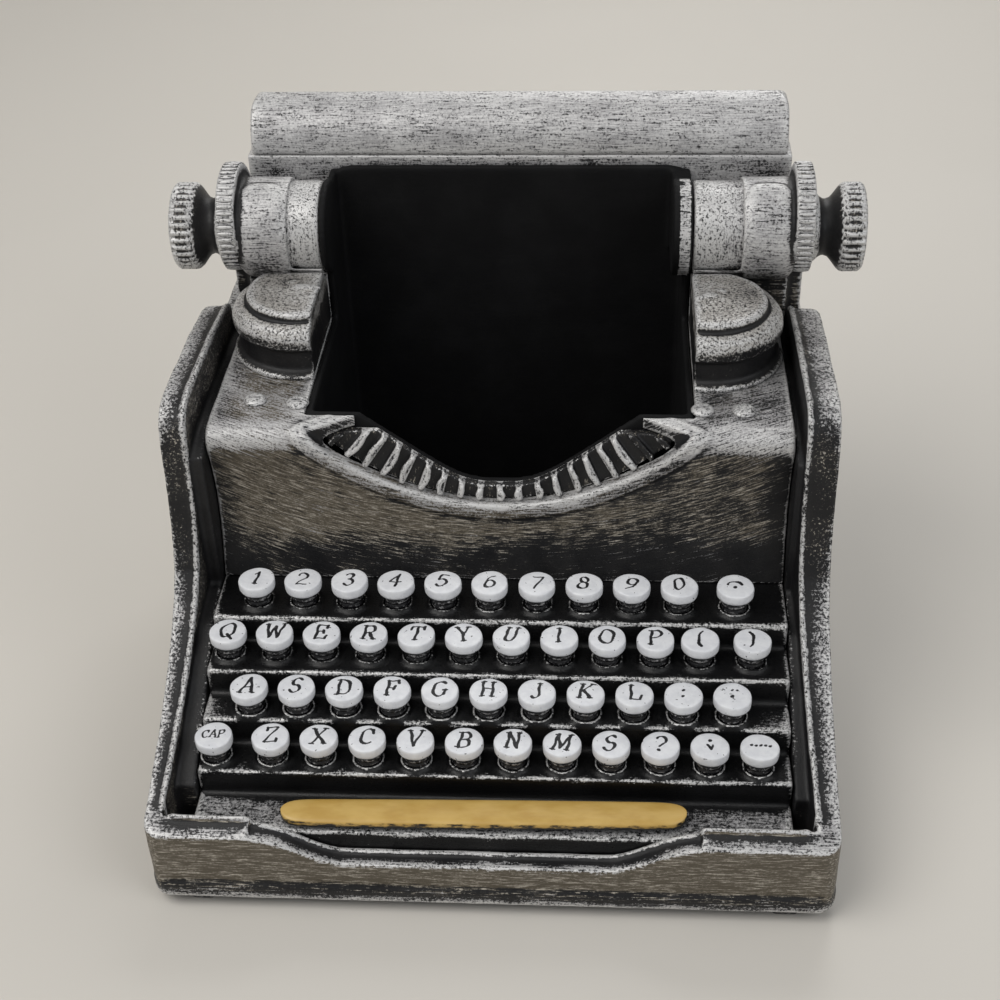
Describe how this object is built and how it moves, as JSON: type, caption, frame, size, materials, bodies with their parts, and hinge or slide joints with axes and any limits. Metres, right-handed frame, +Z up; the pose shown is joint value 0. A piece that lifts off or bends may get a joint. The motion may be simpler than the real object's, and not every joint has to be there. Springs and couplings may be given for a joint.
{
  "type": "typewriter desk holder",
  "caption": "Old-style typewriter shape with a deep open bin through its deck, sprung round keys, a space bar and two turning platen knobs.",
  "frame": {"origin": "centre of the bounding box's bottom face, on the table under the feet", "axes": "+X to the typist's right, +Y from the front rim to the back, +Z up"},
  "size_m": [0.2136, 0.188, 0.1725],
  "materials": {
    "rubbed_pewter": "black cast resin with silver rubbed over its edges and brown brushing on its faces",
    "rubbed_silver": "black cast resin rubbed heavily with silver",
    "black_bed": "gloss black with worn silver edges",
    "black_base": "matt black",
    "black_bin": "dead matt black",
    "white_key": "satin white enamel cap on a gloss black plunger",
    "ochre_bar": "satin ochre paint with scratches",
    "spring_steel": "bright wire"
  },
  "bodies": {
    "root": {"casing": "rubbed_pewter", "base_plate": "black_base", "deck_cover": "rubbed_pewter", "key_bed": "black_bed", "bin": "black_bin", "typebars": "rubbed_pewter", "carriage": "rubbed_silver", "paper_table": "rubbed_silver", "spool_covers": "rubbed_silver", "screws": "rubbed_silver", "key_springs": "spring_steel"},
    "space_bar": {"space_bar": "ochre_bar"},
    "left_platen": {"left_platen": "rubbed_silver"},
    "right_platen": {"right_platen": "rubbed_silver"},
    "key_1": {"key_1": "white_key"},
    "key_2": {"key_2": "white_key"},
    "key_3": {"key_3": "white_key"},
    "key_4": {"key_4": "white_key"},
    "key_5": {"key_5": "white_key"},
    "key_6": {"key_6": "white_key"},
    "key_7": {"key_7": "white_key"},
    "key_8": {"key_8": "white_key"},
    "key_9": {"key_9": "white_key"},
    "key_0": {"key_0": "white_key"},
    "key_fermata": {"key_fermata": "white_key"},
    "key_q": {"key_q": "white_key"},
    "key_w": {"key_w": "white_key"},
    "key_e": {"key_e": "white_key"},
    "key_r": {"key_r": "white_key"},
    "key_t": {"key_t": "white_key"},
    "key_y": {"key_y": "white_key"},
    "key_u": {"key_u": "white_key"},
    "key_i": {"key_i": "white_key"},
    "key_o": {"key_o": "white_key"},
    "key_p": {"key_p": "white_key"},
    "key_paren_open": {"key_paren_open": "white_key"},
    "key_paren_close": {"key_paren_close": "white_key"},
    "key_a": {"key_a": "white_key"},
    "key_s": {"key_s": "white_key"},
    "key_d": {"key_d": "white_key"},
    "key_f": {"key_f": "white_key"},
    "key_g": {"key_g": "white_key"},
    "key_h": {"key_h": "white_key"},
    "key_j": {"key_j": "white_key"},
    "key_k": {"key_k": "white_key"},
    "key_l": {"key_l": "white_key"},
    "key_colon": {"key_colon": "white_key"},
    "key_dots": {"key_dots": "white_key"},
    "key_cap": {"key_cap": "white_key"},
    "key_z": {"key_z": "white_key"},
    "key_x": {"key_x": "white_key"},
    "key_c": {"key_c": "white_key"},
    "key_v": {"key_v": "white_key"},
    "key_b": {"key_b": "white_key"},
    "key_n": {"key_n": "white_key"},
    "key_m": {"key_m": "white_key"},
    "key_lower_s": {"key_lower_s": "white_key"},
    "key_question": {"key_question": "white_key"},
    "key_semicolon": {"key_semicolon": "white_key"},
    "key_ellipsis": {"key_ellipsis": "white_key"}
  },
  "joints": [
    {"name": "bar_press", "type": "slide", "parent": "root", "child": "space_bar", "axis": [0, 0, -1], "range_m": [0, 0.0015], "stiffness_N_per_m": 200, "springref_m": -0.0015, "deforming": ["key_springs"]},
    {"name": "knob_left_turn", "type": "hinge", "parent": "root", "child": "left_platen", "pos_m": [-0.098, 0.0595, 0.141], "axis": [1, 0, 0], "continuous": true},
    {"name": "knob_right_turn", "type": "hinge", "parent": "root", "child": "right_platen", "pos_m": [0.098, 0.0595, 0.141], "axis": [1, 0, 0], "continuous": true},
    {"name": "press_key_1", "type": "slide", "parent": "root", "child": "key_1", "axis": [0, 0, -1], "range_m": [0, 0.0028], "stiffness_N_per_m": 120, "springref_m": -0.0015, "deforming": ["key_springs"]},
    {"name": "press_key_2", "type": "slide", "parent": "root", "child": "key_2", "axis": [0, 0, -1], "range_m": [0, 0.0028], "stiffness_N_per_m": 120, "springref_m": -0.0015, "deforming": ["key_springs"]},
    {"name": "press_key_3", "type": "slide", "parent": "root", "child": "key_3", "axis": [0, 0, -1], "range_m": [0, 0.0028], "stiffness_N_per_m": 120, "springref_m": -0.0015, "deforming": ["key_springs"]},
    {"name": "press_key_4", "type": "slide", "parent": "root", "child": "key_4", "axis": [0, 0, -1], "range_m": [0, 0.0028], "stiffness_N_per_m": 120, "springref_m": -0.0015, "deforming": ["key_springs"]},
    {"name": "press_key_5", "type": "slide", "parent": "root", "child": "key_5", "axis": [0, 0, -1], "range_m": [0, 0.0028], "stiffness_N_per_m": 120, "springref_m": -0.0015, "deforming": ["key_springs"]},
    {"name": "press_key_6", "type": "slide", "parent": "root", "child": "key_6", "axis": [0, 0, -1], "range_m": [0, 0.0028], "stiffness_N_per_m": 120, "springref_m": -0.0015, "deforming": ["key_springs"]},
    {"name": "press_key_7", "type": "slide", "parent": "root", "child": "key_7", "axis": [0, 0, -1], "range_m": [0, 0.0028], "stiffness_N_per_m": 120, "springref_m": -0.0015, "deforming": ["key_springs"]},
    {"name": "press_key_8", "type": "slide", "parent": "root", "child": "key_8", "axis": [0, 0, -1], "range_m": [0, 0.0028], "stiffness_N_per_m": 120, "springref_m": -0.0015, "deforming": ["key_springs"]},
    {"name": "press_key_9", "type": "slide", "parent": "root", "child": "key_9", "axis": [0, 0, -1], "range_m": [0, 0.0028], "stiffness_N_per_m": 120, "springref_m": -0.0015, "deforming": ["key_springs"]},
    {"name": "press_key_0", "type": "slide", "parent": "root", "child": "key_0", "axis": [0, 0, -1], "range_m": [0, 0.0028], "stiffness_N_per_m": 120, "springref_m": -0.0015, "deforming": ["key_springs"]},
    {"name": "press_key_fermata", "type": "slide", "parent": "root", "child": "key_fermata", "axis": [0, 0, -1], "range_m": [0, 0.0028], "stiffness_N_per_m": 120, "springref_m": -0.0015, "deforming": ["key_springs"]},
    {"name": "press_key_q", "type": "slide", "parent": "root", "child": "key_q", "axis": [0, 0, -1], "range_m": [0, 0.0028], "stiffness_N_per_m": 120, "springref_m": -0.0015, "deforming": ["key_springs"]},
    {"name": "press_key_w", "type": "slide", "parent": "root", "child": "key_w", "axis": [0, 0, -1], "range_m": [0, 0.0028], "stiffness_N_per_m": 120, "springref_m": -0.0015, "deforming": ["key_springs"]},
    {"name": "press_key_e", "type": "slide", "parent": "root", "child": "key_e", "axis": [0, 0, -1], "range_m": [0, 0.0028], "stiffness_N_per_m": 120, "springref_m": -0.0015, "deforming": ["key_springs"]},
    {"name": "press_key_r", "type": "slide", "parent": "root", "child": "key_r", "axis": [0, 0, -1], "range_m": [0, 0.0028], "stiffness_N_per_m": 120, "springref_m": -0.0015, "deforming": ["key_springs"]},
    {"name": "press_key_t", "type": "slide", "parent": "root", "child": "key_t", "axis": [0, 0, -1], "range_m": [0, 0.0028], "stiffness_N_per_m": 120, "springref_m": -0.0015, "deforming": ["key_springs"]},
    {"name": "press_key_y", "type": "slide", "parent": "root", "child": "key_y", "axis": [0, 0, -1], "range_m": [0, 0.0028], "stiffness_N_per_m": 120, "springref_m": -0.0015, "deforming": ["key_springs"]},
    {"name": "press_key_u", "type": "slide", "parent": "root", "child": "key_u", "axis": [0, 0, -1], "range_m": [0, 0.0028], "stiffness_N_per_m": 120, "springref_m": -0.0015, "deforming": ["key_springs"]},
    {"name": "press_key_i", "type": "slide", "parent": "root", "child": "key_i", "axis": [0, 0, -1], "range_m": [0, 0.0028], "stiffness_N_per_m": 120, "springref_m": -0.0015, "deforming": ["key_springs"]},
    {"name": "press_key_o", "type": "slide", "parent": "root", "child": "key_o", "axis": [0, 0, -1], "range_m": [0, 0.0028], "stiffness_N_per_m": 120, "springref_m": -0.0015, "deforming": ["key_springs"]},
    {"name": "press_key_p", "type": "slide", "parent": "root", "child": "key_p", "axis": [0, 0, -1], "range_m": [0, 0.0028], "stiffness_N_per_m": 120, "springref_m": -0.0015, "deforming": ["key_springs"]},
    {"name": "press_key_paren_open", "type": "slide", "parent": "root", "child": "key_paren_open", "axis": [0, 0, -1], "range_m": [0, 0.0028], "stiffness_N_per_m": 120, "springref_m": -0.0015, "deforming": ["key_springs"]},
    {"name": "press_key_paren_close", "type": "slide", "parent": "root", "child": "key_paren_close", "axis": [0, 0, -1], "range_m": [0, 0.0028], "stiffness_N_per_m": 120, "springref_m": -0.0015, "deforming": ["key_springs"]},
    {"name": "press_key_a", "type": "slide", "parent": "root", "child": "key_a", "axis": [0, 0, -1], "range_m": [0, 0.0028], "stiffness_N_per_m": 120, "springref_m": -0.0015, "deforming": ["key_springs"]},
    {"name": "press_key_s", "type": "slide", "parent": "root", "child": "key_s", "axis": [0, 0, -1], "range_m": [0, 0.0028], "stiffness_N_per_m": 120, "springref_m": -0.0015, "deforming": ["key_springs"]},
    {"name": "press_key_d", "type": "slide", "parent": "root", "child": "key_d", "axis": [0, 0, -1], "range_m": [0, 0.0028], "stiffness_N_per_m": 120, "springref_m": -0.0015, "deforming": ["key_springs"]},
    {"name": "press_key_f", "type": "slide", "parent": "root", "child": "key_f", "axis": [0, 0, -1], "range_m": [0, 0.0028], "stiffness_N_per_m": 120, "springref_m": -0.0015, "deforming": ["key_springs"]},
    {"name": "press_key_g", "type": "slide", "parent": "root", "child": "key_g", "axis": [0, 0, -1], "range_m": [0, 0.0028], "stiffness_N_per_m": 120, "springref_m": -0.0015, "deforming": ["key_springs"]},
    {"name": "press_key_h", "type": "slide", "parent": "root", "child": "key_h", "axis": [0, 0, -1], "range_m": [0, 0.0028], "stiffness_N_per_m": 120, "springref_m": -0.0015, "deforming": ["key_springs"]},
    {"name": "press_key_j", "type": "slide", "parent": "root", "child": "key_j", "axis": [0, 0, -1], "range_m": [0, 0.0028], "stiffness_N_per_m": 120, "springref_m": -0.0015, "deforming": ["key_springs"]},
    {"name": "press_key_k", "type": "slide", "parent": "root", "child": "key_k", "axis": [0, 0, -1], "range_m": [0, 0.0028], "stiffness_N_per_m": 120, "springref_m": -0.0015, "deforming": ["key_springs"]},
    {"name": "press_key_l", "type": "slide", "parent": "root", "child": "key_l", "axis": [0, 0, -1], "range_m": [0, 0.0028], "stiffness_N_per_m": 120, "springref_m": -0.0015, "deforming": ["key_springs"]},
    {"name": "press_key_colon", "type": "slide", "parent": "root", "child": "key_colon", "axis": [0, 0, -1], "range_m": [0, 0.0028], "stiffness_N_per_m": 120, "springref_m": -0.0015, "deforming": ["key_springs"]},
    {"name": "press_key_dots", "type": "slide", "parent": "root", "child": "key_dots", "axis": [0, 0, -1], "range_m": [0, 0.0028], "stiffness_N_per_m": 120, "springref_m": -0.0015, "deforming": ["key_springs"]},
    {"name": "press_key_cap", "type": "slide", "parent": "root", "child": "key_cap", "axis": [0, 0, -1], "range_m": [0, 0.0028], "stiffness_N_per_m": 120, "springref_m": -0.0015, "deforming": ["key_springs"]},
    {"name": "press_key_z", "type": "slide", "parent": "root", "child": "key_z", "axis": [0, 0, -1], "range_m": [0, 0.0028], "stiffness_N_per_m": 120, "springref_m": -0.0015, "deforming": ["key_springs"]},
    {"name": "press_key_x", "type": "slide", "parent": "root", "child": "key_x", "axis": [0, 0, -1], "range_m": [0, 0.0028], "stiffness_N_per_m": 120, "springref_m": -0.0015, "deforming": ["key_springs"]},
    {"name": "press_key_c", "type": "slide", "parent": "root", "child": "key_c", "axis": [0, 0, -1], "range_m": [0, 0.0028], "stiffness_N_per_m": 120, "springref_m": -0.0015, "deforming": ["key_springs"]},
    {"name": "press_key_v", "type": "slide", "parent": "root", "child": "key_v", "axis": [0, 0, -1], "range_m": [0, 0.0028], "stiffness_N_per_m": 120, "springref_m": -0.0015, "deforming": ["key_springs"]},
    {"name": "press_key_b", "type": "slide", "parent": "root", "child": "key_b", "axis": [0, 0, -1], "range_m": [0, 0.0028], "stiffness_N_per_m": 120, "springref_m": -0.0015, "deforming": ["key_springs"]},
    {"name": "press_key_n", "type": "slide", "parent": "root", "child": "key_n", "axis": [0, 0, -1], "range_m": [0, 0.0028], "stiffness_N_per_m": 120, "springref_m": -0.0015, "deforming": ["key_springs"]},
    {"name": "press_key_m", "type": "slide", "parent": "root", "child": "key_m", "axis": [0, 0, -1], "range_m": [0, 0.0028], "stiffness_N_per_m": 120, "springref_m": -0.0015, "deforming": ["key_springs"]},
    {"name": "press_key_lower_s", "type": "slide", "parent": "root", "child": "key_lower_s", "axis": [0, 0, -1], "range_m": [0, 0.0028], "stiffness_N_per_m": 120, "springref_m": -0.0015, "deforming": ["key_springs"]},
    {"name": "press_key_question", "type": "slide", "parent": "root", "child": "key_question", "axis": [0, 0, -1], "range_m": [0, 0.0028], "stiffness_N_per_m": 120, "springref_m": -0.0015, "deforming": ["key_springs"]},
    {"name": "press_key_semicolon", "type": "slide", "parent": "root", "child": "key_semicolon", "axis": [0, 0, -1], "range_m": [0, 0.0028], "stiffness_N_per_m": 120, "springref_m": -0.0015, "deforming": ["key_springs"]},
    {"name": "press_key_ellipsis", "type": "slide", "parent": "root", "child": "key_ellipsis", "axis": [0, 0, -1], "range_m": [0, 0.0028], "stiffness_N_per_m": 120, "springref_m": -0.0015, "deforming": ["key_springs"]}
  ]
}
